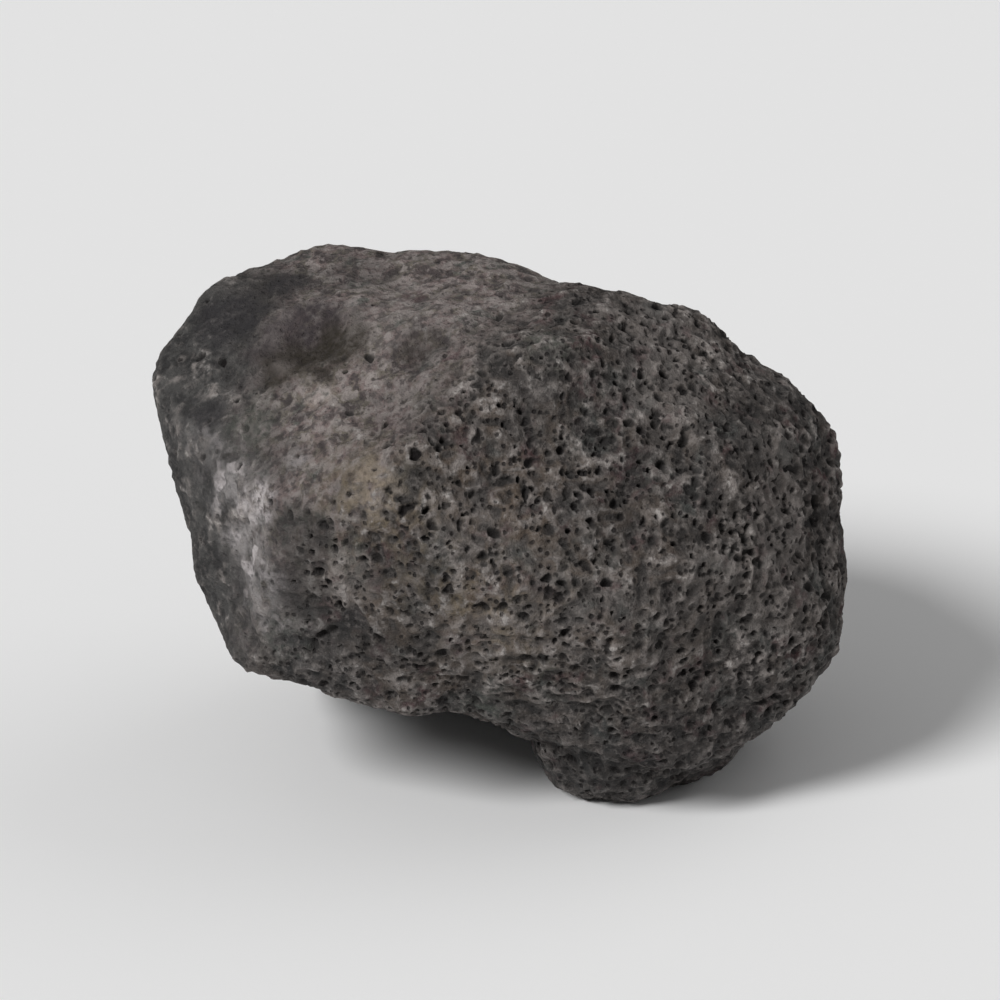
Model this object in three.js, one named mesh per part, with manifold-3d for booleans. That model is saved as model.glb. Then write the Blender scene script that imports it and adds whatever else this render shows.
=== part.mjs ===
// Lava rock: one fist-sized lump of vesicular black scoria, about 100 x 90 x 75 mm.
// Its outside is a set of broad worn facets that run into each other, a blunt foot under the
// front right, a smooth skin with two old dimples on the upper left, and open gas pits elsewhere.
// Every direction is a turn (degrees anticlockwise from +X, seen from above) and a rise (degrees
// above level), and every distance is in mm from the heart, a point deep inside the stone.
import * as THREE from 'three';
import { mergeVertices } from 'three/addons/utils/BufferGeometryUtils.js';
import Module from 'manifold-3d';

// Where the stone stands
const heartHeight = 37.5;        // heart above the flat that it rests on
const floorSide = 160;           // block cut away below the flat
const floorDepth = 40;

// How the surface is made
const surfaceDetail = 14;        // splits of each edge of the starting icosahedron
const cornerSharpness = 34;      // higher gives crisper edges between facets
const footBlend = 6;             // fillet where the foot joins
const warpAmount = 0.012;        // how far directions drift, so that facets aren't quite flat
const warpScale = 40;
const swellHeight = 0.25;        // low unevenness over the whole stone

// Facets: turn, rise, distance of the facet's plane from the heart
const facets = [
  // crown and upper right
  [222, 84, 35.5], [80, 57, 37.8], [56, 57, 34.9], [30, 47, 39.9], [17, 30, 48.8],
  // right side, down to the lower right
  [6, 0, 48.7], [354, -27, 53.4], [333, -50, 45.4],
  // front, from the skin on the upper left to the face above the foot
  [231, 50, 37.5], [283, 28, 36.5], [325, 55, 39], [325, 18, 44.5], [302, -11, 41.5],
  [264, -26, 33.5], [248, -8, 37.5], [214, 1, 41.5],
  // undercut below the front left
  [233, -68, 27.7],
  // left side
  [192, -40, 41], [176, -19, 41.2], [173, -6, 47.9], [159, 28, 52.6], [127, 49, 47.7],
  // back
  [84, 3, 49], [127, 6, 48.5], [49, 6, 52], [99, 51, 48.6], [48, 42, 50], [133, 36, 52.5],
  // underneath, at the back
  [135, -50, 51.5], [83, -37, 51], [34, -44, 53], [146, -18, 51],
];

// The foot is three overlapping lumps: x, y, z of each middle from the heart, and its radius
const footLumps = [
  [16.2, -9.4, -26.7, 11.5],
  [20.9, -7.5, -26, 11.4],
  [26, -3, -26, 9.8],
];

// Shallow hollows: turn, rise, radius of the hollow, depth. A depth below 0 is a raised place.
const hollows = [
  [194, 48, 4.8, 2.5],           // large dimple in the skin
  [237, 57, 2.8, 1.1],           // small dimple in the skin
  [22, 70, 6.5, 1.5],            // scoop out of the upper right edge
  [346, 1, 9, 0.9],              // dent in the right side
  [85, 73, 7, -1.4],             // raised corner at the back of the crown
  [144, 46, 7, -1.6],            // raised corner above the skin
];

// The largest gas pits, scattered over the back, the right and the underside
const pitTries = 66;
const pitSmallest = 1.0;         // radius of a bubble
const pitLargest = 1.8;
const pitSink = 0.3;             // bubble's middle below the surface, in bubble radii
const pitDetail = 1;
const lowestPitRise = -34;       // degrees, to keep clear of the flat
// Where no large pit lies: turn and rise of a place, and degrees from it to the zone's edge
const fineZones = [
  [212, 50, 42],                 // the skin
  [280, 10, 58],                 // the front, where all the pits are small
  [210, -5, 34],                 // the worn ridge on the left
];

const wasm = await Module();
wasm.setup();

function direction(turn, rise) {
  const t = THREE.MathUtils.degToRad(turn);
  const r = THREE.MathUtils.degToRad(rise);
  return new THREE.Vector3(Math.cos(t) * Math.cos(r), Math.sin(t) * Math.cos(r), Math.sin(r));
}

const facetPlanes = facets.map(([turn, rise, reach]) => ({ normal: direction(turn, rise), reach }));

// A sum of sine waves in scattered directions; the longer waves are the stronger ones.
function waves(point, count, longest, shortest, seed) {
  let sum = 0;
  for (let k = 0; k < count; k += 1) {
    const length = longest * (shortest / longest) ** ((k + 0.5) / count);
    const level = 1 - 2 * ((k * 0.618034 + seed * 0.37) % 1);
    const around = 2.399963 * k + seed * 1.7;
    const flat = Math.sqrt(1 - level * level);
    const way = new THREE.Vector3(flat * Math.cos(around), flat * Math.sin(around), level);
    const phase = (2 * Math.PI / length) * way.dot(point) + seed * 2.1 + k * 1.9;
    sum += (length / longest) * Math.sin(phase);
  }
  return sum;
}

// The direction, nudged a little so that the facets come out slightly curved.
function warped(way) {
  const place = way.clone().multiplyScalar(warpScale);
  const drift = [1, 2, 3].map((seed) => warpAmount * waves(place, 8, 60, 26, seed));
  return way.clone().add(new THREE.Vector3(...drift)).normalize();
}

// Distance from the heart to the rounded body that all the facet planes enclose.
function facetReach(way) {
  let sum = 0;
  for (const { normal, reach } of facetPlanes) {
    sum += (Math.max(normal.dot(way), 0) / reach) ** cornerSharpness;
  }
  return sum ** (-1 / cornerSharpness);
}

// Distance from the heart to the far side of a ball, or 0 where the direction misses it.
function ballReach(way, [x, y, z, radius]) {
  const middle = new THREE.Vector3(x, y, z);
  const along = way.dot(middle);
  const inside = along * along - middle.lengthSq() + radius * radius;
  return inside > 0 ? along + Math.sqrt(inside) : 0;
}

// The larger of two distances, with a fillet where they are nearly equal.
function filletedMax(a, b, fillet) {
  const share = THREE.MathUtils.clamp(0.5 + (0.5 * (a - b)) / fillet, 0, 1);
  return b * (1 - share) + a * share + fillet * share * (1 - share);
}

// Distance from the heart to the surface before the hollows are taken out.
function solidReach(way) {
  let reach = facetReach(warped(way));
  for (const lump of footLumps) {
    reach = filletedMax(reach, ballReach(way, lump), footBlend);
  }
  const place = way.clone().multiplyScalar(reach);
  return reach + swellHeight * waves(place, 14, 26, 9, 4);
}

const hollowPlaces = hollows.map(([turn, rise, radius, depth]) => {
  const way = direction(turn, rise);
  return { middle: way.multiplyScalar(solidReach(way)), radius, depth };
});

// Distance from the heart to the finished surface.
function surfaceReach(way) {
  const reach = solidReach(way);
  const place = way.clone().multiplyScalar(reach);
  let depth = 0;
  for (const hollow of hollowPlaces) {
    const away = place.distanceTo(hollow.middle) / hollow.radius;
    depth += hollow.depth * Math.exp(-1.2 * away * away);
  }
  return reach - depth;
}

// A fixed number from 0 to 1 for each k and seed.
function scatter(k, seed) {
  const value = Math.sin(k * 12.9898 + seed * 78.233) * 43758.5453;
  return value - Math.floor(value);
}

function inFineZone(way) {
  return fineZones.some(([turn, rise, spread]) => (
    way.dot(direction(turn, rise)) > Math.cos(THREE.MathUtils.degToRad(spread))
  ));
}

// The pits' bubbles, each with its middle just under the surface.
function pitBubbles() {
  const bubbles = [];
  for (let k = 0; k < pitTries; k += 1) {
    const rise = THREE.MathUtils.radToDeg(Math.asin(1 - 2 * scatter(k, 1)));
    const way = direction(360 * scatter(k, 2), rise);
    const radius = pitSmallest + (pitLargest - pitSmallest) * scatter(k, 3) ** 2;
    if (rise > lowestPitRise && !inFineZone(way)) {
      const middle = way.clone().multiplyScalar(surfaceReach(way) - pitSink * radius);
      bubbles.push({ middle, radius });
    }
  }
  return bubbles;
}

// A closed ball of triangles with shared corners.
function ball(radius, detail) {
  const geometry = new THREE.IcosahedronGeometry(radius, detail);
  geometry.deleteAttribute('normal');
  geometry.deleteAttribute('uv');
  return mergeVertices(geometry);
}

function toSolid(geometry) {
  const vertProperties = new Float32Array(geometry.attributes.position.array);
  const triVerts = new Uint32Array(geometry.index.array);
  return new wasm.Manifold(new wasm.Mesh({ numProp: 3, vertProperties, triVerts }));
}

function toGeometry(solid) {
  const { vertProperties, triVerts } = solid.getMesh();
  const geometry = new THREE.BufferGeometry();
  geometry.setAttribute('position', new THREE.BufferAttribute(vertProperties, 3));
  geometry.setIndex(new THREE.BufferAttribute(triVerts, 1));
  return geometry;
}

// The lump itself: a ball whose every corner is pulled out to the surface.
function lump() {
  const geometry = ball(1, surfaceDetail);
  const corners = geometry.attributes.position;
  const way = new THREE.Vector3();
  for (let i = 0; i < corners.count; i += 1) {
    way.fromBufferAttribute(corners, i).normalize();
    way.multiplyScalar(surfaceReach(way));
    corners.setXYZ(i, way.x, way.y, way.z);
  }
  return toSolid(geometry);
}

// The block under the stone whose top is the level that the flat lies on.
function floorBlock() {
  const geometry = new THREE.BoxGeometry(floorSide, floorSide, floorDepth);
  geometry.deleteAttribute('normal');
  geometry.deleteAttribute('uv');
  geometry.translate(0, 0, -heartHeight - floorDepth / 2);
  return toSolid(mergeVertices(geometry));
}

function rockGeometry() {
  let stone = lump().subtract(floorBlock());
  for (const { middle, radius } of pitBubbles()) {
    const bubble = ball(radius, pitDetail);
    bubble.translate(middle.x, middle.y, middle.z);
    stone = stone.subtract(toSolid(bubble));
  }
  const geometry = toGeometry(stone);
  geometry.computeBoundingBox();
  const middle = geometry.boundingBox.getCenter(new THREE.Vector3());
  geometry.translate(-middle.x, -middle.y, -geometry.boundingBox.min.z);
  geometry.computeVertexNormals();
  return geometry;
}

const scoria = new THREE.MeshStandardMaterial({ color: 0x4b4643, roughness: 0.96, metalness: 0 });
const rock = new THREE.Mesh(rockGeometry(), scoria);
rock.name = 'lava_rock';

const part = new THREE.Group();
part.add(rock);

export default part;
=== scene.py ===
import bpy
import numpy as np
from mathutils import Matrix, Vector


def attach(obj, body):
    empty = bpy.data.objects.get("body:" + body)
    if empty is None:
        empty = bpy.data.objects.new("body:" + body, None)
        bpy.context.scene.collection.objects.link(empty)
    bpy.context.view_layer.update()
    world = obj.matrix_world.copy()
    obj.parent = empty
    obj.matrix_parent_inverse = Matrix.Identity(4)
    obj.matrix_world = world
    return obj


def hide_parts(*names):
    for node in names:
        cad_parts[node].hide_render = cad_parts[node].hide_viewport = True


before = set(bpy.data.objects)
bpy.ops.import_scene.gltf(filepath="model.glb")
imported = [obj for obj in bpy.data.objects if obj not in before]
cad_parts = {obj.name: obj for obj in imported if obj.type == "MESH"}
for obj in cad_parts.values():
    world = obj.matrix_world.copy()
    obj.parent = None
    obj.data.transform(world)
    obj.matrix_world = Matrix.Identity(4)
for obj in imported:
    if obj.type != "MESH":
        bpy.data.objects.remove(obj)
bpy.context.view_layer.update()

mm = 0.001

lump = {
    # the smooth shape
    "body": {
        "heart": (-0.471, -6.352, 37.5),     # mm, from the middle of the base
        "gridPerSide": 300,                  # squares along each side of the six grids
        "quickGridPerSide": 90,
        "trianglesKept": 196000,
        "cornerSharpness": 34,               # higher gives crisper edges between facets
        "footFillet": 6.0,                   # where the foot joins
        # how far directions drift, so that facets aren't quite flat, and the low unevenness; the
        # waves of each are their number, longest, shortest and seed
        "warp": 0.012, "warpScale": 40,
        "warpWaves": [(8, 60, 26, 1), (8, 60, 26, 2), (8, 60, 26, 3)],
        "swell": 0.25, "swellWaves": (14, 26, 9, 4),
        # turn, rise, distance of each broad facet's plane from the heart
        "facets": [
            # crown and upper right
            (222, 84, 35.5), (80, 57, 37.8), (56, 57, 34.9), (30, 47, 39.9), (17, 30, 48.8),
            # right side, down to the lower right
            (6, 0, 48.7), (354, -27, 53.4), (333, -50, 45.4),
            # front, from the skin on the upper left to the face above the foot
            (231, 50, 37.5), (283, 28, 36.5), (325, 55, 39), (325, 18, 44.5), (302, -11, 41.5),
            (264, -26, 33.5), (248, -8, 37.5), (214, 1, 41.5),
            # undercut below the front left
            (233, -68, 27.7),
            # left side
            (192, -40, 41), (176, -19, 41.2), (173, -6, 47.9), (159, 28, 52.6), (127, 49, 47.7),
            # back
            (84, 3, 49), (127, 6, 48.5), (49, 6, 52), (99, 51, 48.6), (48, 42, 50), (133, 36, 52.5),
            # underneath, at the back
            (135, -50, 51.5), (83, -37, 51), (34, -44, 53), (146, -18, 51),
        ],
        # x, y, z of each lump of the foot, and its radius
        "footLumps": [(16.2, -9.4, -26.7, 11.5), (20.9, -7.5, -26, 11.4), (26, -3, -26, 9.8)],
        # turn, rise, radius and depth of each shallow hollow; a depth below 0 is a raised place
        "hollows": [
            (194, 48, 4.8, 2.5), (237, 57, 2.8, 1.1), (22, 70, 6.5, 1.5), (346, 1, 9, 0.9),
            (85, 73, 7, -1.4), (144, 46, 7, -1.6),
        ],
        "hollowFall": 1.2,                   # higher gives each hollow steeper sides
    },
    "relief": {
        # cell of the noise in mm, its seed, and the height in mm of each scale of unevenness
        "lump": (11.0, 1, 0.30), "knob": (3.2, 2, 0.28), "crumb": (1.4, 3, 0.27),
        "grain": (0.9, 4, 0.13),
        # narrow raised lines that wander between hollows, and how steeply they fall
        "crest": (1.8, 5, 0.32), "crestFall": 2.6,
        "onSkin": 0.62,                      # how much of the small relief the skin has
    },
    "pits": {
        # tries of the few large pits, the same as the construction model's: their radii in mm, how
        # deep their middles lie in radii, the lowest rise that has one, and the zones that have
        # none, as turn, rise and degrees across half of them
        "largeTries": 66, "largeRadii": (1.0, 1.8), "largeSink": 0.3, "lowestRise": -34,
        "fineZones": [(212, 50, 42), (280, 10, 58), (210, -5, 34)],
        # single pits in and beside the skin: x, y, z of the bubble's middle, and its radius
        "single": [
            (-41.5, -1.8, 25.1, 0.8), (-38.5, -3.8, 25.2, 0.85), (-10.9, -32.7, 21.7, 0.85),
            (-25.0, -22.7, 23.2, 0.6), (-15.2, -26.2, 23.2, 0.7), (-34.4, -13.2, 22.2, 0.8),
            (-7.0, -19.0, 31.0, 0.6), (-11.8, -1.9, 34.2, 0.6), (-19.8, -16.9, 26.3, 0.55),
        ],
        # fields of bubbles, one to a cell of a block of cells, cut open wherever they meet the
        # surface: cell and radii in mm, share of cells that have one, and the least depth of one
        "fields": [
            {"cell": 1.65, "smallest": 0.46, "largest": 0.80,
             "share": 1.0, "shallowest": 0.40, "seed": 11},
            {"cell": 1.35, "smallest": 0.34, "largest": 0.60,
             "share": 0.9, "shallowest": 0.5, "seed": 23},
            {"cell": 4.4, "smallest": 0.75, "largest": 1.15,
             "share": 0.30, "shallowest": 0.8, "seed": 37},
        ],
        # how open the stone is: place, radius and share of the pits lost where it is worn, at the
        # lower left and on the foot, and how far the rest varies
        "lostOnSkin": 0.80, "lost": [((-24.5, -28.2, -9), 13, 0.65), ((16, -24, -27), 12, 0.5)],
        "common": 0.82, "uneven": 0.3, "unevenNoise": (8.0, 7),
        "fade": 0.12,                        # the share over which a bubble shrinks away
        "smallBias": 1.5,                    # higher makes more of the bubbles small
        # noises and mm by which the outlines of pits wander from true circles
        "ragNoises": [(1.4, 41), (1.4, 42), (1.4, 43)], "ragShift": 0.42,
        # pale rim round each pit, as wear and painted highlight: its width, and the radii at which
        # it starts and is full
        "rimWidth": 0.22, "rimRadii": (0.2, 0.5),
    },
    "skin": {
        # the plane between the skin and the open-pored stone: its normal and its distance; then
        # the noises, as cell and seed, and the mm that make its edge ragged
        "normal": (0.748, -0.299, -0.592), "distance": -12.97, "softness": 4.0,
        "raggedNoise": (9.0, 5), "raggedness": 4.5, "fineNoise": (3.5, 6), "fineRaggedness": 2.0,
        "backFrom": 8, "backSlope": 0.9,     # the skin gives out past this y
        # the low raised rim round the large dimple, and what makes it wander and break off
        "rimMiddle": (-26, -6, 30.2), "rimRadius": 6.4, "rimWidth": 1.1, "rimHeight": 0.35,
        "rimNoise": (5, 14), "rimWander": 0.12, "breakNoise": (3, 15), "breaks": (-0.5, 0.4),
    },
    # where the broad tones lie
    "zones": {
        # start, end, radius and strength of each streak
        "ridge": [((-37, -19, 12), (-31, -26.5, -3), 4.2, 1.0),
                  ((-41, -11, 17), (-37, -19, 12), 3.5, 0.35)],
        "ochre": [((-19, -34, 17), (0, -37, -1), 6.5, 1.0)],
        "warm": ((-3, -36, 8), 25),          # middle and radius
        # the grey left end, partly darkened as painted shade: x where it starts and where it is
        # full, and how far its edge wanders
        "left": (-26, -40), "leftNoise": (5, 10), "leftWander": 2,
        # the dark lower left: middle, radius and strength, and how far its edge wanders
        "lowLeft": ((-26, -28, -9), 11, 0.6), "lowNoise": (4, 12), "lowWander": 0.25,
        "lowDown": (-8, -30), "lowStrength": 0.5,    # z where the painted shade towards the bottom starts and is full
        # mm of depth, or of small relief, at which each mask starts and at which it is full
        "pit": (0.35, 1.1), "dip": (0.0, 0.5), "rimLost": (0.0, 0.15), "high": (-0.5, 0.6),
        "patchNoise": (2.6, 8), "patchWander": 0.3, "patchEdge": (0.15, 0.65),
    },
    # patches that differ in tone, one mask to each name: x, y, z, radius and strength
    "patches": {
        # the stain in each dimple, with painted shade in its hollow, the wider ring round it, and
        # the smooth dark corner of the skin
        "dimple": [(-22.8, -9.8, 29.1, 5.2, 1.0), (-28.8, -8.8, 26.2, 4.4, 0.9),
                   (-10.4, -15.7, 30.8, 3.2, 0.5)],
        "dimpleRing": [(-27, -5.4, 30, 7.2, 1.0), (-10.4, -15.7, 30.8, 4.6, 0.5)],
        # the corner is a dark purple-grey tone, partly painted shade
        "corner": [(-37.2, 2.6, 29.4, 5.6, 1.0), (-40.4, -10, 19.7, 2.6, 0.8),
                   (-29.6, 7.8, 33, 3.2, 0.9)],
        # greenish, sandy, and dark red stone
        "moss": [(7.3, -22.3, 34, 4.2, 1.0), (-29.2, -27.1, -7, 4.4, 1.0),
                 (-20.1, -33.7, 7.5, 3.4, 0.8), (-34.2, -15.6, 19.6, 4.4, 0.8),
                 (-2, -27.9, -16.9, 3.6, 0.9), (6, -33.5, -8.5, 2.6, 0.7)],
        "peach": [(-16.6, -34.7, 17.7, 4.0, 1.0), (-24.3, -16.8, 24.9, 2.4, 0.6)],
        "wine": [(18.6, -28.4, 18.1, 3.4, 0.9), (12.4, -23.5, 29.9, 3.0, 0.8),
                 (-11.9, -1.9, 34.5, 2.0, 0.8), (-6, -19.5, 31, 2.0, 0.8),
                 (-15.3, -26.4, 23.4, 2.4, 0.7), (15.7, -23.9, 25.7, 2.4, 0.6)],
        # darker places: partly a darker tone, partly painted shade
        "shade": [(-26.6, -30.6, 9.2, 5.6, 1.0), (-27.9, -30, 1.3, 5.4, 1.0),
                  (-22.7, -29.8, -5.6, 3.4, 0.5), (-15.7, -32.7, -6.2, 4.4, 0.7),
                  (-11.8, -37, 5.2, 6.5, 0.6), (12.9, -33.3, 12, 7.0, 0.6),
                  (21.5, -27.1, 18.7, 5.5, 0.5), (4.5, -26.5, 27.5, 5.5, 0.5),
                  (35.6, -14.8, 21.2, 3.0, 0.9), (35, -21.7, 17.3, 3.2, 0.9),
                  (-12, -34.6, -4.8, 6.0, 0.4), (-19.4, 7.2, 34.5, 6.0, 0.7),
                  (-31, 7, 32.8, 6.0, 1.0), (-12.5, -24.5, 26, 7.0, 0.4),
                  (-28.9, -23.7, 17.4, 4.0, 0.7), (14.4, -20.6, -29.5, 6.0, 0.6),
                  (30, -28.9, 10.8, 4.0, 0.5), (39.6, -8.8, 21.4, 4.0, 0.7),
                  (-18, -31, 17, 10.0, 0.2), (-41, -14, 15, 4.5, 0.5), (4.9, -1.7, 35.2, 5.0, 0.4)],
        # painted highlights on the ridge, white
        "highlightWhite": [(-32, -25.1, 12.2, 2.8, 1.0), (-34.5, -21.5, 9.5, 2.2, 0.8),
                  (-30.8, -28, 1.5, 2.6, 0.8), (-27.6, -24.5, 17.9, 1.8, 0.7),
                  (-24.3, -16.8, 24.9, 1.6, 0.5)],
        # paler places: partly a paler tone, partly painted light
        "pale": [(-16, -8, 32, 8.0, 0.5), (23.8, -19.3, 25.9, 6.5, 0.8), (22, -10.1, 31, 6.5, 0.8),
                 (39, -21, 7.6, 8.0, 1.0), (39, -24.6, 0.2, 8.0, 0.7), (39, -17, 15.6, 5.0, 0.8),
                 (-20.6, -33.2, 3.8, 5.0, 0.9), (-4.1, -36, 13.1, 5.0, 0.6),
                 (-3.4, -35, -4.7, 6.0, 0.6), (30.1, -30.9, 2.6, 5.5, 0.6), (8, -37.5, 2, 9, 0.4),
                 (22, -34, -5, 7.0, 0.5), (-4, -12.5, 33, 8.0, 0.25), (-19.2, -9.4, 31.4, 3.0, 0.9),
                 (-15.3, 2, 35, 4.5, 0.8)],
    },
}
body, relief, pits, skin, zones, patches = lump.values()     # each part under its own name

goldenPart, goldenTurn = 0.618034, 2.399963      # steps that spread directions evenly
# how far a seed moves the waves' levels, turns and starts, and one wave's start past the last's
levelShift, turnShift, startShift, startStep = 0.37, 1.7, 2.1, 1.9
# large odd numbers and shifts that mix a cell's place into a number with no pattern to it
hashFactors, hashSeedFactor, hashMixer = (73856093, 19349663, 83492791), 2654435761, 2246822519
hashShifts, wordSize = (15, 13, 16), 2 ** 32
scatterFactors = (12.9898, 78.233, 43758.5453)   # the construction model's, for the same pits
weldSteps = 10 ** 6                              # steps to one unit when corners are welded


def directionOf(turn, rise):
    # unit vector: the cosine and sine of the turn, both times the rise's cosine, and its sine
    t, r = np.radians(turn), np.radians(rise)
    return np.array([np.cos(t) * np.cos(r), np.sin(t) * np.cos(r), np.sin(r)])


def smoothStep(low, high, value):
    # 0 at low, 1 at high, and 3x^2 - 2x^3 between
    x = np.clip((value - low) / (high - low), 0, 1)
    return x * x * (3 - 2 * x)


def waveSum(points, count, longest, shortest, seed):
    # sum of count sines along scattered directions, lengths falling from longest to shortest,
    # each as tall as its share of the longest; the seed moves the directions and the starts
    total = np.zeros(points.shape[0])
    for k in range(count):
        length = longest * (shortest / longest) ** ((k + 0.5) / count)
        level = 1 - 2 * ((k * goldenPart + seed * levelShift) % 1)
        around = goldenTurn * k + seed * turnShift
        flat = np.sqrt(1 - level * level)
        way = np.array([flat * np.cos(around), flat * np.sin(around), level])
        phase = points @ way * (2 * np.pi / length) + seed * startShift + k * startStep
        total += length / longest * np.sin(phase)
    return total


def hashed(cells, seed):
    # a fixed number from 0 to 1 for each whole-number cell: its x, y, z each times a factor, joined
    # by exclusive or, moved on by the seed, then mixed by shifts and multiplications
    place = cells.astype(np.int64).astype(np.uint32)
    x, y, z = [place[:, axis] * np.uint32(factor) for axis, factor in enumerate(hashFactors)]
    h = (x ^ y ^ z) + np.uint32(seed * hashSeedFactor % wordSize)
    for shift in hashShifts:
        h = (h ^ (h >> np.uint32(shift))) * np.uint32(hashMixer)
    return (h ^ (h >> np.uint32(hashShifts[0]))) / float(wordSize)


def cellNoise(points, cell, seed):
    # hashed values at the corners of each cell, blended smoothly between them, from -1 to 1
    place = points / cell
    base = np.floor(place)
    part = place - base
    part = part * part * (3 - 2 * part)
    total = np.zeros(points.shape[0])
    for corner in np.ndindex(2, 2, 2):
        offset = np.array(corner)
        weight = np.prod(np.where(offset == 1, part, 1 - part), axis=1)
        total += weight * hashed(base + offset, seed)
    return 2 * total - 1


facetNormals = np.array([directionOf(turn, rise) for turn, rise, reach in body["facets"]])
facetReaches = np.array([reach for turn, rise, reach in body["facets"]])


def solidReach(ways):
    # distance from the heart to the facets, as the sum of (cosine / reach)^sharpness to the power
    # -1/sharpness, then the larger of that and each foot lump, with a fillet, plus a low swell
    places = ways * body["warpScale"]
    drift = np.stack([waveSum(places, *waves) for waves in body["warpWaves"]], axis=1)
    bent = ways + body["warp"] * drift
    bent /= np.linalg.norm(bent, axis=1, keepdims=True)
    sharp = body["cornerSharpness"]
    nearness = np.maximum(bent @ facetNormals.T, 0) / facetReaches
    reach = (nearness ** sharp).sum(axis=1) ** (-1 / sharp)
    for x, y, z, radius in body["footLumps"]:
        along = ways @ np.array([x, y, z])
        inside = along ** 2 - (x * x + y * y + z * z) + radius ** 2
        far = np.where(inside > 0, along + np.sqrt(np.maximum(inside, 0)), 0)
        share = np.clip(0.5 + 0.5 * (far - reach) / body["footFillet"], 0, 1)
        reach = reach * (1 - share) + far * share + body["footFillet"] * share * (1 - share)
    return reach + body["swell"] * waveSum(ways * reach[:, None], *body["swellWaves"])


def surfaceReach(ways):
    # the solid's reach less each hollow, a bell curve of its own radius and depth
    reach = solidReach(ways)
    points = ways * reach[:, None]
    depth = np.zeros(len(ways))
    for turn, rise, radius, deep in body["hollows"]:
        way = directionOf(turn, rise)[None]
        middle = way * solidReach(way)[:, None]
        away = np.linalg.norm(points - middle, axis=1) / radius
        depth += deep * np.exp(-body["hollowFall"] * away ** 2)
    return reach - depth


def skinShare(points):
    # 1 on the smooth skin, 0 on the open stone: the side of one plane, with a ragged edge
    side = skin["distance"] - points @ np.array(skin["normal"])
    side = side + skin["raggedness"] * cellNoise(points, *skin["raggedNoise"])
    side = side + skin["fineRaggedness"] * cellNoise(points, *skin["fineNoise"])
    side = side - skin["backSlope"] * np.maximum(points[:, 1] - skin["backFrom"], 0)
    return smoothStep(-skin["softness"], skin["softness"], side)


def nearPlace(points, place, radius):
    # 1 at a place on the stone, falling to 0 as a bell curve of that radius
    away = np.linalg.norm(points - np.array(place), axis=1) / radius
    return np.exp(-away ** 2)


def nearSegment(points, start, end, radius):
    # 1 along a straight line between two places, falling off as a bell curve of that radius
    start, end = np.array(start, float), np.array(end, float)
    along = np.clip((points - start) @ (end - start) / ((end - start) @ (end - start)), 0, 1)
    away = np.linalg.norm(points - start - along[:, None] * (end - start), axis=1) / radius
    return np.exp(-away ** 2)


def streakShare(points, streaks):
    # the largest of the streaks' bell curves, each times its strength
    shares = [strength * nearSegment(points, start, end, radius)
              for start, end, radius, strength in streaks]
    return np.max(shares, axis=0)


def leftShare(points):
    # 1 at the left end of the stone, 0 to the right of it, by x with a wandering edge
    wander = zones["leftWander"] * cellNoise(points, *zones["leftNoise"])
    return smoothStep(*zones["left"], points[:, 0] + wander)


def lowShare(points):
    # darker at the lower left, and painted shade towards the bottom, on the foot and round the low
    # rim
    middle, radius, strength = zones["lowLeft"]
    edge = 1 + zones["lowWander"] * cellNoise(points, *zones["lowNoise"])
    share = strength * nearPlace(points, middle, radius * edge)
    return np.maximum(share, zones["lowStrength"] * smoothStep(*zones["lowDown"], points[:, 2]))


def patchShare(points, places):
    # the strength of the strongest patch, falling to 0 round it, with an uneven edge
    edge = 1 + zones["patchWander"] * cellNoise(points, *zones["patchNoise"])
    share = np.zeros(len(points))
    for x, y, z, radius, strength in places:
        near = smoothStep(*zones["patchEdge"], nearPlace(points, (x, y, z), radius * edge))
        share = np.maximum(share, strength * near)
    return share


def rimShare(points):
    # 1 on the rim of the large dimple, a bell curve across a ring, broken by noise along it
    away = np.linalg.norm(points - np.array(skin["rimMiddle"]), axis=1)
    wander = skin["rimWander"] * cellNoise(points, *skin["rimNoise"])
    ring = np.exp(-((away - skin["rimRadius"] * (1 + wander)) / skin["rimWidth"]) ** 2)
    return ring * smoothStep(*skin["breaks"], cellNoise(points, *skin["breakNoise"]))


def poreShare(points):
    # how open the stone is: full on the broken faces, little on the skin, the foot and lower left
    share = 1 - pits["lostOnSkin"] * skinShare(points)
    for place, radius, lost in pits["lost"]:
        share *= 1 - lost * nearPlace(points, place, radius)
    return share * (pits["common"] + pits["uneven"] * cellNoise(points, *pits["unevenNoise"]))


def bubbleDepth(points, normals, field, share):
    # how far each point sinks along its normal towards the far wall of the bubble that it lies in,
    # some bubbles only part of the way, and how near each point outside lies to a bubble's rim
    cell = field["cell"]
    base = np.floor(points / cell - 0.5)
    depth = np.zeros(len(points))
    rim = np.zeros(len(points))
    for corner in np.ndindex(2, 2, 2):
        cells = base + np.array(corner)
        spot = [hashed(cells, field["seed"] + axis) for axis in range(3)]
        middle = (cells + np.stack(spot, axis=1)) * cell
        size = hashed(cells, field["seed"] + 3)
        spare = field["share"] * share - hashed(cells, field["seed"] + 4)
        there = np.clip(spare / pits["fade"], 0, 1)
        size = size ** pits["smallBias"]
        radius = (field["smallest"] + (field["largest"] - field["smallest"]) * size) * there
        fill = field["shallowest"] + (1 - field["shallowest"]) * hashed(cells, field["seed"] + 5)
        sunk, gap = sinkInto(points, normals, middle, radius)
        depth = np.maximum(depth, fill * sunk)
        near = np.exp(-(np.maximum(gap, 0) / pits["rimWidth"]) ** 2)
        rim = np.maximum(rim, near * fill * smoothStep(*pits["rimRadii"], radius))
    return depth, rim


def sinkInto(points, normals, middle, radius):
    # for a point inside a ball, the way along its normal to the ball's inner wall; and for any
    # point its distance outside the ball
    away = points - middle
    square = (away ** 2).sum(axis=1)
    along = (away * normals).sum(axis=1)
    reached = along + np.sqrt(np.maximum(along ** 2 - square + radius ** 2, 0))
    return np.where(square < radius ** 2, np.maximum(reached, 0), 0), np.sqrt(square) - radius


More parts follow.
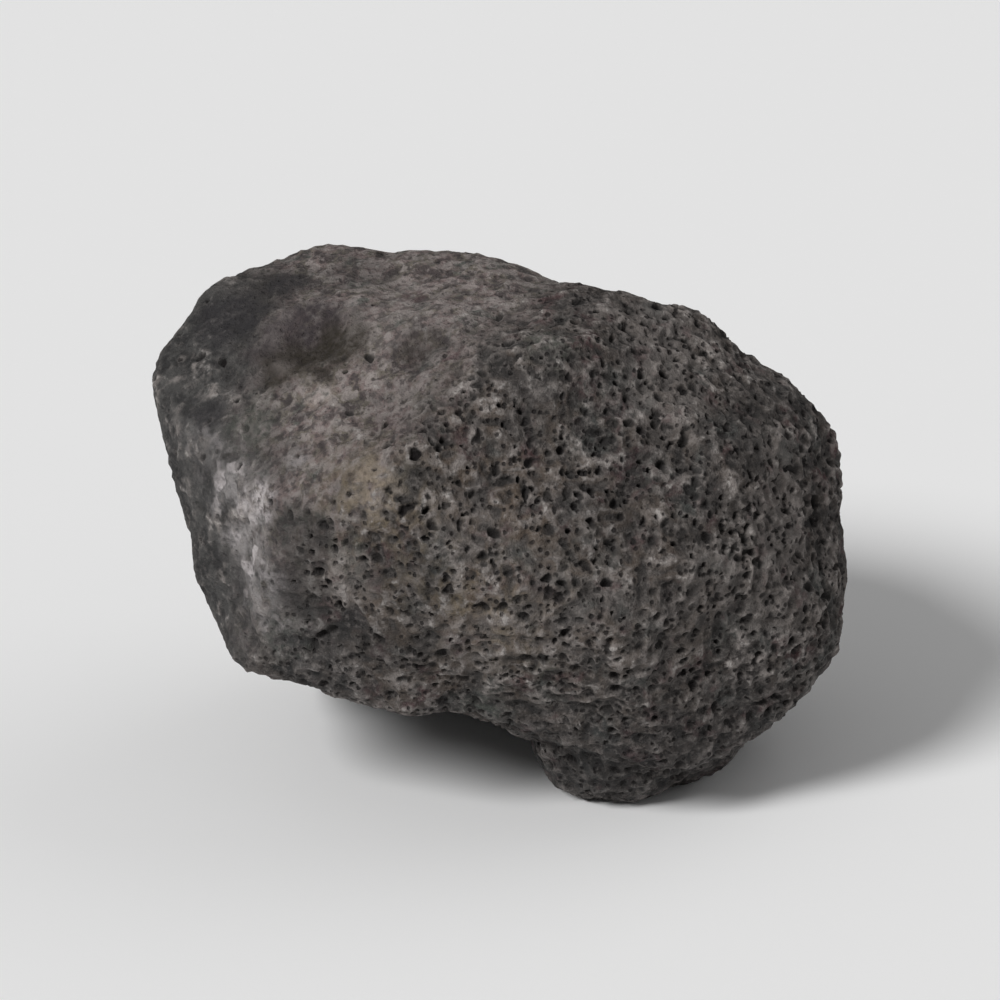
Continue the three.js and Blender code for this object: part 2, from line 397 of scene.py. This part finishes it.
def scatter(k, seed):
    # a fixed number from 0 to 1 for each k and seed: the part after the point of a magnified sine
    kFactor, seedFactor, spread = scatterFactors
    value = np.sin(k * kFactor + seed * seedFactor) * spread
    return value - np.floor(value)


def largePitDepth(points, normals):
    # the same scattered bubbles as the construction model's pits, and the single pits by the skin
    fineZones = [(directionOf(turn, rise), np.cos(np.radians(spread)))
                 for turn, rise, spread in pits["fineZones"]]
    bubbles = [(np.array([x, y, z]), radius) for x, y, z, radius in pits["single"]]
    smallest, largest = pits["largeRadii"]
    for k in range(pits["largeTries"]):
        rise = np.degrees(np.arcsin(1 - 2 * scatter(k, 1)))
        way = directionOf(360 * scatter(k, 2), rise)
        radius = smallest + (largest - smallest) * scatter(k, 3) ** 2
        if rise > pits["lowestRise"] and all(way @ zone < edge for zone, edge in fineZones):
            middle = way * (surfaceReach(way[None])[0] - pits["largeSink"] * radius)
            bubbles.append((middle, radius))
    depth = np.zeros(len(points))
    for middle, radius in bubbles:
        near = np.flatnonzero(((points - middle) ** 2).sum(axis=1) < radius ** 2)
        sunk = sinkInto(points[near], normals[near], middle, radius)[0]
        depth[near] = np.maximum(depth[near], sunk)
    return depth


def cubeGrids(n):
    # directions on six n by n grids at equal angles round a ball, welded along their shared edges
    # by a key made of each one's rounded place, and the four corners of every square, outwards
    t = np.tan((np.arange(n + 1) / n - 0.5) * np.pi / 2)
    a, b = [g.ravel() for g in np.meshgrid(t, t, indexing="ij")]
    one = np.ones_like(a)
    sides = [(one, a, b), (-one, b, a), (b, one, a), (a, -one, b), (a, b, one), (b, a, -one)]
    ways = np.concatenate([np.stack(side, axis=1) for side in sides])
    ways /= np.linalg.norm(ways, axis=1, keepdims=True)
    step = np.arange(n)
    i, j = [g.ravel() for g in np.meshgrid(step, step, indexing="ij")]
    first = i * (n + 1) + j
    square = np.stack([first, first + n + 1, first + n + 2, first + 1], axis=1)
    squares = np.concatenate([square + side * (n + 1) ** 2 for side in range(6)])
    place = np.round((ways + 2) * weldSteps).astype(np.int64)
    keys = (place[:, 0] * 10 * weldSteps + place[:, 1]) * 10 * weldSteps + place[:, 2]
    kept, number = np.unique(keys, return_index=True, return_inverse=True)[1:]
    return ways[kept], number[squares]


def outwardNormals(points, squares):
    # each corner's normal: the sum of the crossed diagonals of the squares round it
    corners = points[squares]
    crossed = np.cross(corners[:, 2] - corners[:, 0], corners[:, 3] - corners[:, 1])
    total = np.zeros_like(points)
    for axis in range(3):
        for corner in range(4):
            total[:, axis] += np.bincount(squares[:, corner], crossed[:, axis], len(points))
    return total / np.linalg.norm(total, axis=1, keepdims=True)


def stoneSurface(ways, squares):
    # the body, roughened along its normals, then sunk into every bubble that it cuts; and, for the
    # finish, how deep each point lies in a pit and how high it stands on the small relief
    points = ways * surfaceReach(ways)[:, None]
    normals = outwardNormals(points, squares)
    onSkin = skinShare(points)
    rough = 1 - (1 - relief["onSkin"]) * onSkin
    heights = {}
    for name in ("lump", "knob", "crumb", "grain", "crest"):
        cell, seed, tall = relief[name]
        value = cellNoise(points, cell, seed)
        if name == "crest":
            value = 1 - relief["crestFall"] * np.abs(value)
        heights[name] = tall * value
    small = rough * (heights["knob"] + heights["crumb"] + heights["grain"] + heights["crest"])
    share = poreShare(points)
    wander = np.stack([cellNoise(points, *noise) for noise in pits["ragNoises"]], axis=1)
    ragged = points + pits["ragShift"] * wander
    depth = largePitDepth(ragged, normals)
    rim = np.zeros(len(points))
    for field in pits["fields"]:
        fieldDepth, fieldRim = bubbleDepth(ragged, normals, field, share)
        depth = np.maximum(depth, fieldDepth)
        rim = np.maximum(rim, fieldRim)
    # for the finish: pit and dip mark painted shade in the pits, and rim marks wear and painted
    # highlight round them
    masks = {
        "pit": smoothStep(*zones["pit"], depth),
        "dip": smoothStep(*zones["dip"], depth),
        "rim": rim * (1 - smoothStep(*zones["rimLost"], depth)),
        "high": smoothStep(*zones["high"], small),
        "skin": onSkin,
        "ridge": streakShare(points, zones["ridge"]),
        "ochre": streakShare(points, zones["ochre"]),
        "warm": nearPlace(points, *zones["warm"]),
        "left": leftShare(points),
        "low": lowShare(points),
        "dimpleRim": rimShare(points),
    }
    for name, places in patches.items():
        masks[name] = patchShare(points, places)
    raised = skin["rimHeight"] * masks["dimpleRim"]
    points = points + normals * (heights["lump"] + small + raised - depth)[:, None]
    points[:, 2] = np.maximum(points[:, 2], -body["heart"][2])    # level with the floor
    return points, masks


def makeMesh(name, points, faces):
    # a mesh straight from the arrays: corner places, then the corners of each four-sided face
    mesh = bpy.data.meshes.new(name)
    mesh.vertices.add(len(points))
    mesh.vertices.foreach_set("co", points.astype(np.float32).ravel())
    mesh.loops.add(faces.size)
    mesh.loops.foreach_set("vertex_index", faces.astype(np.int32).ravel())
    mesh.polygons.add(len(faces))
    mesh.polygons.foreach_set("loop_start", np.arange(0, faces.size, 4, dtype=np.int32))
    mesh.update(calc_edges=True)
    return mesh


def thinned(mesh, triangles):
    # fewer triangles, with the small ones left where the surface turns most
    carrier = bpy.data.objects.new("thinning", mesh)
    bpy.context.scene.collection.objects.link(carrier)
    now = len(mesh.polygons) * 2
    if now > triangles:
        fewer = carrier.modifiers.new("fewer", "DECIMATE")
        fewer.ratio = triangles / now
    graph = bpy.context.evaluated_depsgraph_get()
    result = bpy.data.meshes.new_from_object(carrier.evaluated_get(graph))
    bpy.data.objects.remove(carrier)
    return result


def addMasks(mesh, masks):
    # one number for each corner under each mask's name, for the finish to read
    for name, values in masks.items():
        layer = mesh.attributes.new(name, "FLOAT", "POINT")
        layer.data.foreach_set("value", values.astype(np.float32))


def buildStone():
    # the stone's surface worked out on the grids, moved to the heart's place, and thinned
    n = body["gridPerSide"]
    ways, squares = cubeGrids(n)
    print("stone: grid of", len(ways), "corners")
    points, masks = stoneSurface(ways, squares)
    fine = makeMesh("scoriaFine", (points + np.array(body["heart"])) * mm, squares)
    addMasks(fine, masks)
    print("stone: pits cut")
    final = thinned(fine, body["trianglesKept"])
    final.name = "scoria"
    final.shade_smooth()
    stone = bpy.data.objects.new("scoriaLump", final)
    bpy.context.scene.collection.objects.link(stone)
    print("stone:", len(final.polygons), "faces,", list(final.attributes.keys()))
    return stone


finish = {
    # linear colours
    "colours": {
        "stone": (0.058, 0.051, 0.048, 1), "stoneWarm": (0.094, 0.070, 0.053, 1),
        "stoneCool": (0.053, 0.055, 0.052, 1), "maroon": (0.069, 0.040, 0.040, 1),
        "skin": (0.180, 0.139, 0.132, 1), "skinSand": (0.145, 0.127, 0.106, 1),
        "skinGreen": (0.104, 0.106, 0.095, 1), "skinPale": (0.290, 0.255, 0.242, 1),
        "skinGrey": (0.058, 0.048, 0.048, 1),
        # the left end's greys are darkened in part as painted shade
        "paleGrey": (0.062, 0.060, 0.058, 1), "darkGrey": (0.030, 0.029, 0.029, 1),
        # the white is painted highlight on the ridge
        "ridge": (0.330, 0.310, 0.305, 1), "highlightWhite": (0.560, 0.515, 0.515, 1),
        "ochre": (0.151, 0.120, 0.084, 1), "moss": (0.072, 0.077, 0.065, 1),
        "peach": (0.290, 0.238, 0.184, 1), "wine": (0.060, 0.028, 0.032, 1),
        # the dusk is a dark tone: painted shade where the stone lies low, in dips and in shaded
        # places, and dark blotches and grain
        # the low grey is a darker tone at the lower left, and painted shade towards the bottom
        "dusk": (0.025, 0.0232, 0.0224, 1), "lowGrey": (0.0235, 0.025, 0.027, 1),
        # the dimple's olive-brown stain holds painted shade in its hollow, and the corner's dark
        # tone holds painted shade too
        "dimple": (0.027, 0.022, 0.015, 1),
        "dimpleRing": (0.036, 0.029, 0.032, 1), "corner": (0.027, 0.025, 0.027, 1),
        # the pale tone is wear, pale blotches and grain, and painted highlight where the stone
        # stands high and round the pits
        # the pit shade is painted shade in the pits and the fine pores
        "pitShade": (0.010, 0.008, 0.008, 1), "paleWearAndHighlight": (0.266, 0.238, 0.223, 1),
        # the fleck is a painted highlight on the high places
        "highlightFleck": (0.430, 0.402, 0.382, 1),
    },
    # noise that breaks the colours up: its size in mm, detail, roughness and seed, and the values
    # of the noise at which the pattern is absent and at which it is full
    "patterns": {
        "warmPatches": (5.0, 3, 0.6, 1, 0.38, 0.58), "coolPatches": (7.0, 3, 0.6, 2, 0.50, 0.66),
        "maroonPatches": (5.0, 3, 0.6, 3, 0.54, 0.66),
        "sandPatches": (3.2, 3, 0.6, 4, 0.44, 0.58), "greenPatches": (4.2, 3, 0.6, 14, 0.54, 0.64),
        "paleSpots": (1.9, 2, 0.55, 15, 0.51, 0.60), "greySpots": (1.9, 2, 0.55, 15, 0.49, 0.40),
        "paleSpecks": (0.95, 2, 0.5, 18, 0.53, 0.64), "greySpecks": (0.95, 2, 0.5, 18, 0.46, 0.36),
        "darkPatches": (2.4, 3, 0.6, 13, 0.42, 0.60), "ochrePatches": (3.0, 3, 0.6, 5, 0.40, 0.60),
        # the ridge's spots place painted highlights on it
        "ridgePatches": (3.4, 3, 0.6, 6, 0.34, 0.60), "ridgeHighlightSpots": (2.8, 2, 0.5, 16, 0.53, 0.62),
        # the second of these breaks up the wear and painted highlight on high places and pit rims
        "patchSpecks": (1.2, 2, 0.6, 17, 0.36, 0.60), "wearAndHighlightPatches": (1.6, 3, 0.6, 7, 0.38, 0.60),
        # the fleck spots place painted highlights on the high places
        "highlightFleckSpots": (1.1, 2, 0.5, 12, 0.54, 0.62),
        "darkBlotches": (2.2, 3, 0.6, 19, 0.47, 0.38), "paleBlotches": (2.2, 3, 0.6, 19, 0.53, 0.62),
        "paleGrain": (0.7, 3, 0.6, 8, 0.50, 0.70), "darkGrain": (0.7, 3, 0.6, 8, 0.50, 0.30),
        # the stain specks thin the stains and the painted shade of the dimple and corner
        "stainAndShadeSpecks": (0.9, 3, 0.6, 20, 0.62, 0.40),
    },
    # colours in the order in which they are laid on: each colour, the most of it that shows, and
    # the masks, patterns and other shares whose product says where it lies
    "layers": {
        "openStone": [
            ("stoneWarm", 1.0, "warmth", "warmPatches"), ("stoneCool", 1.0, "coolPatches"),
            ("maroon", 1.0, "maroonPatches"),
        ],
        "skin": [
            ("skinSand", 1.0, "sandPatches"), ("skinGreen", 1.0, "greenPatches"),
            ("skinPale", 0.75, "paleSpots"), ("skinGrey", 0.85, "greySpots"),
            ("skinPale", 0.5, "paleSpecks"), ("skinGrey", 0.7, "greySpecks"),
        ],
        "leftEnd": [("darkGrey", 1.0, "darkPatches")],
        "allOver": [
            ("ochre", 1.0, "ochre", "ochrePatches"),
            ("ridge", 0.85, "ridge", "ridgePatches"), ("highlightWhite", 0.8, "ridge", "ridgeHighlightSpots"),
            ("moss", 0.8, "moss", "patchSpecks"), ("peach", 0.8, "peach", "patchSpecks"),
            ("wine", 0.8, "wine", "patchSpecks"), ("highlightWhite", 0.8, "highlightWhite", "patchSpecks"),
            # painted shade where it lies low; paler where it stands high, as wear and painted
            # highlight, with white flecks of painted highlight
            ("dusk", 0.85, "sunk"), ("paleWearAndHighlight", 0.9, "raised"), ("highlightFleck", 0.85, "raised", "highlightFleckSpots"),
            # paler round the pits, as wear and painted highlight; darker at the lower left, and
            # painted shade towards the bottom
            ("paleWearAndHighlight", 0.60, "rim", "wearAndHighlightPatches"), ("lowGrey", 0.9, "low"),
            # blotches a few millimetres across, then a grain of half a millimetre
            ("dusk", 0.42, "offSkin", "darkBlotches"), ("paleWearAndHighlight", 0.14, "offSkin", "paleBlotches"),
            ("paleWearAndHighlight", 0.3, "grained", "paleGrain"), ("dusk", 0.5, "grained", "darkGrain"),
            # paler places, partly painted light, and darker ones, partly painted shade; then the
            # stains
            ("paleWearAndHighlight", 0.30, "pale"), ("dusk", 0.6, "shade"),
            # the dimple's stain and the corner's dark tone both carry painted shade
            ("dimpleRing", 0.92, "dimpleRing", "stainAndShade"), ("dimple", 0.92, "dimple", "stainAndShade"),
            ("corner", 0.92, "corner", "stainAndShade"), ("skinPale", 0.25, "dimpleRim"),
            # last of all, painted shade in the pores, dips and pits
            ("pitShade", 0.85, "finePore"), ("dusk", 0.88, "dip"), ("pitShade", 1.0, "pit"),
        ],
    },
    "shine": 0.25,
    "roughness": (0.78, 0.98), "roughPatches": (2.0, 3, 0.6, 9),
    "warmthElsewhere": 0.2,              # share of the warm tone away from the warm zone
    # heights on the small relief, from 0 to 1, between which stone starts to count as sunk or as
    # raised and counts fully
    "sunkFrom": (0.50, 0.10), "raisedFrom": (0.50, 1.0),
    # how much of each shows on the skin, next to the open stone
    "sunkOnSkin": 0.35, "grainOnSkin": 0.55, "finePoresOnSkin": 0.35,
    "thinnestStainAndShade": 0.72,               # the strength of the stains and their painted shade at their thinnest
    # the fine pores are painted shade, over a shallow bump
    # pores too small to model: mm from one to the next, how far they wander, the distances from
    # a middle at which a pore starts and is full, and the numbers between which pores come in
    "finePoreCell": 1.0, "finePoreWander": 0.5, "finePoreEdge": (0.42, 0.15),
    "finePoresKept": (0.38, 0.66), "finePoreDepth": 0.35,
    # grit that shows in the shading only: size, detail, roughness and seed, and its depth in mm
    "grit": [((1.0, 4, 0.65, 10), 0.8), ((0.32, 3, 0.65, 11), 0.25)],
}


class FinishTree:
    # short names for the nodes that the finish is built from; sizes are in mm

    def __init__(self, material):
        material.use_nodes = True
        self.nodes = material.node_tree.nodes
        self.links = material.node_tree.links
        self.place = self.nodes.new("ShaderNodeTexCoord").outputs["Object"]
        self.made = {}                   # noises and shares by name, so that each is built once

    def put(self, value, socket):
        # a link from another node, or a fixed value
        if isinstance(value, bpy.types.NodeSocket):
            self.links.new(value, socket)
        else:
            socket.default_value = value

    def share(self, name):
        # a share kept before, or else the pattern or the mesh's mask of that name
        if name not in self.made:
            self.made[name] = self.pattern(name) if name in finish["patterns"] else self.mask(name)
        return self.made[name]

    def mask(self, name):
        # the number that the mesh carries under this name
        node = self.nodes.new("ShaderNodeAttribute")
        node.attribute_name = name
        return node.outputs["Fac"]

    def pattern(self, name):
        # noise turned into a share, from 0 where it is absent to 1 where it is full
        *kind, absent, full = finish["patterns"][name]
        return self.step(self.noise(*kind), absent, full)

    def noise(self, size, detail, roughness, seed):
        # soft noise from 0 to 1, its features about one size across; the seed shifts the pattern
        kind = (size, detail, roughness, seed)
        if kind not in self.made:
            node = self.nodes.new("ShaderNodeTexNoise")
            node.noise_dimensions = "4D"
            node.inputs["W"].default_value = seed
            node.inputs["Scale"].default_value = 1 / (size * mm)
            node.inputs["Detail"].default_value = detail
            node.inputs["Roughness"].default_value = roughness
            self.links.new(self.place, node.inputs["Vector"])
            self.made[kind] = node.outputs["Fac"]
        return self.made[kind]

    def cells(self, size, wander):
        # distance from the nearest of scattered spots, one to a cell, and that spot's own number;
        # the cells' edges wander by a share of their size
        drift = self.nodes.new("ShaderNodeTexNoise")
        drift.inputs["Scale"].default_value = 1 / (size * mm)
        self.links.new(self.place, drift.inputs["Vector"])
        moved = self.nodes.new("ShaderNodeVectorMath")
        moved.operation = "MULTIPLY_ADD"
        moved.inputs[1].default_value = (wander * size * mm,) * 3
        self.links.new(drift.outputs["Color"], moved.inputs[0])
        self.links.new(self.place, moved.inputs[2])
        node = self.nodes.new("ShaderNodeTexVoronoi")
        node.inputs["Scale"].default_value = 1 / (size * mm)
        self.links.new(moved.outputs["Vector"], node.inputs["Vector"])
        split = self.nodes.new("ShaderNodeSeparateColor")
        self.links.new(node.outputs["Color"], split.inputs["Color"])
        return node.outputs["Distance"], split.outputs["Red"]

    def step(self, value, low, high):
        # 0 at low and 1 at high, smoothly; low may be the larger
        node = self.nodes.new("ShaderNodeMapRange")
        node.interpolation_type = "SMOOTHSTEP"
        self.put(value, node.inputs["Value"])
        falling = low > high
        node.inputs["From Min"].default_value = high if falling else low
        node.inputs["From Max"].default_value = low if falling else high
        node.inputs["To Min"].default_value = 1.0 if falling else 0.0
        node.inputs["To Max"].default_value = 0.0 if falling else 1.0
        return node.outputs["Result"]

    def math(self, operation, a, b):
        # the result of one sum on two numbers
        node = self.nodes.new("ShaderNodeMath")
        node.operation = operation
        self.put(a, node.inputs[0])
        self.put(b, node.inputs[1])
        return node.outputs["Value"]

    def times(self, a, b):
        # the product
        return self.math("MULTIPLY", a, b)

    def between(self, start, end, share):
        # start where share is 0, end where it is 1
        return self.math("ADD", self.times(share, end - start), start)

    def mix(self, share, a, b, most=1.0):
        # a where share is 0, b where it is 1, and no more than most of b
        node = self.nodes.new("ShaderNodeMix")
        node.data_type = "RGBA"
        self.put(share if most == 1.0 else self.times(share, most), node.inputs["Factor"])
        self.put(a, node.inputs["A"])
        self.put(b, node.inputs["B"])
        return node.outputs["Result"]

    def layered(self, colour, layerList):
        # each colour of the list mixed over what lies under it, by the product of its shares
        for name, most, firstShare, *moreShares in layerList:
            share = self.share(firstShare)
            for other in moreShares:
                share = self.times(share, self.share(other))
            colour = self.mix(share, colour, finish["colours"][name], most)
        return colour

    def bump(self, height, depth, under=None):
        # heights from 0 to 1, shaded as if they were up to depth tall, over the bump under them
        node = self.nodes.new("ShaderNodeBump")
        node.inputs["Distance"].default_value = depth * mm
        self.links.new(height, node.inputs["Height"])
        if under is not None:
            self.links.new(under, node.inputs["Normal"])
        return node.outputs["Normal"]


def keepShares(tree):
    # the shares that no single mask or pattern gives: each runs between two values as another
    # share goes from 0 to 1, or is the product of two such shares
    onSkin = tree.share("skin")
    high = tree.share("high")
    tree.made["offSkin"] = tree.between(1.0, 0.0, onSkin)
    tree.made["warmth"] = tree.between(finish["warmthElsewhere"], 1.0, tree.share("warm"))
    # painted shade where the small relief lies low
    tree.made["sunk"] = tree.times(tree.step(high, *finish["sunkFrom"]),
                                   tree.between(1.0, finish["sunkOnSkin"], onSkin))
    # wear and painted highlight where it stands high
    tree.made["raised"] = tree.times(tree.step(high, *finish["raisedFrom"]),
                                     tree.share("wearAndHighlightPatches"))
    tree.made["grained"] = tree.between(1.0, finish["grainOnSkin"], onSkin)
    # the stains, and the painted shade in the dimple and corner, let a little of the skin's grain
    # through
    tree.made["stainAndShade"] = tree.between(finish["thinnestStainAndShade"], 1.0, tree.share("stainAndShadeSpecks"))
    # painted shade in the pores too small to model
    away, number = tree.cells(finish["finePoreCell"], finish["finePoreWander"])
    kept = tree.times(tree.step(away, *finish["finePoreEdge"]),
                      tree.step(number, *finish["finePoresKept"]))
    thinning = tree.between(finish["finePoresOnSkin"], 1.0, tree.share("offSkin"))
    tree.made["finePore"] = tree.times(kept, thinning)


def scoriaFinish():
    # the open stone, the skin and the grey left end, darkened in part as painted shade, each have
    # their own tones; they are joined by the skin's and the left end's masks, and the layers for the
    # whole stone, painted shade and highlights among them, go over them
    material = bpy.data.materials.new("scoria")
    tree = FinishTree(material)
    shader = tree.nodes["Principled BSDF"]
    shader.inputs["Specular IOR Level"].default_value = finish["shine"]
    keepShares(tree)
    colours, layers = finish["colours"], finish["layers"]
    openStone = tree.layered(colours["stone"], layers["openStone"])
    skinTone = tree.layered(colours["skin"], layers["skin"])
    leftTone = tree.layered(colours["paleGrey"], layers["leftEnd"])
    skinTone = tree.mix(tree.share("left"), skinTone, leftTone)
    colour = tree.mix(tree.share("skin"), openStone, skinTone)
    colour = tree.layered(colour, layers["allOver"])
    tree.links.new(colour, shader.inputs["Base Color"])
    rough = tree.between(*finish["roughness"], tree.noise(*finish["roughPatches"]))
    tree.links.new(rough, shader.inputs["Roughness"])
    normal = None
    for kind, depth in finish["grit"]:
        normal = tree.bump(tree.noise(*kind), depth, normal)
    solid = tree.between(1.0, 0.0, tree.share("finePore"))
    normal = tree.bump(solid, finish["finePoreDepth"], normal)
    tree.links.new(normal, shader.inputs["Normal"])
    print("finish: scoria nodes", len(tree.nodes))
    return material


studio = {
    "floorSide": 30.0,                   # m
    "paper": (0.9, 0.9, 0.9, 1), "paperRoughness": 0.9,
    "skyColour": (1, 1, 1, 1), "skyStrength": 0.25,
    # strength, softness, turn and rise of each lamp
    "lamps": {"key": (2.7, 20.0, 228.0, 38.0), "edge": (0.4, 60.0, 25.0, 38.0)},
    "cameraTurn": 270.0, "cameraRise": 20.0,     # degrees: from the front, and above level
    "cameraAway": 0.74,                  # m
    "cameraLens": 185.0,
    "aim": (0.0, 0.0, 0.0385),           # m
}


def buildStudio():
    # a broad square of pale paper under an even sky, a soft lamp from the front left, a weak one
    # from the right rear, and a long lens aimed at the stone from in front and above
    half = studio["floorSide"] / 2
    corners = half * np.array([(-1, -1, 0), (1, -1, 0), (1, 1, 0), (-1, 1, 0)], float)
    floorMesh = makeMesh("paleFloor", corners, np.array([[0, 1, 2, 3]]))
    floor = bpy.data.objects.new("paleFloor", floorMesh)
    bpy.context.scene.collection.objects.link(floor)
    paper = bpy.data.materials.new("palePaper")
    paper.use_nodes = True
    paperShader = paper.node_tree.nodes["Principled BSDF"]
    paperShader.inputs["Base Color"].default_value = studio["paper"]
    paperShader.inputs["Roughness"].default_value = studio["paperRoughness"]
    floor.data.materials.append(paper)
    world = bpy.data.worlds.new("softSky")
    world.use_nodes = True
    sky = world.node_tree.nodes["Background"]
    sky.inputs["Color"].default_value = studio["skyColour"]
    sky.inputs["Strength"].default_value = studio["skyStrength"]
    bpy.context.scene.world = world
    for name, (strength, softness, turn, rise) in studio["lamps"].items():
        light = bpy.data.lights.new(name, "SUN")
        light.energy = strength
        light.angle = np.radians(softness)
        lamp = bpy.data.objects.new(name, light)
        lamp.rotation_euler = Vector(directionOf(turn, rise)).to_track_quat("Z", "Y").to_euler()
        bpy.context.scene.collection.objects.link(lamp)
    camera = bpy.data.cameras.new("camera")
    camera.lens = studio["cameraLens"]
    cameraBody = bpy.data.objects.new("camera", camera)
    toCamera = Vector(directionOf(studio["cameraTurn"], studio["cameraRise"]))
    cameraBody.location = Vector(studio["aim"]) + toCamera * studio["cameraAway"]
    cameraBody.rotation_euler = toCamera.to_track_quat("Z", "Y").to_euler()
    bpy.context.scene.collection.objects.link(cameraBody)
    bpy.context.scene.camera = cameraBody
    bpy.context.scene.view_settings.view_transform = "Standard"
    print("studio: floor, sky, lamps and camera")


buildStudio()
stone = buildStone()
stone.data.materials.append(scoriaFinish())
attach(stone, "root")
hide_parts("lava_rock")
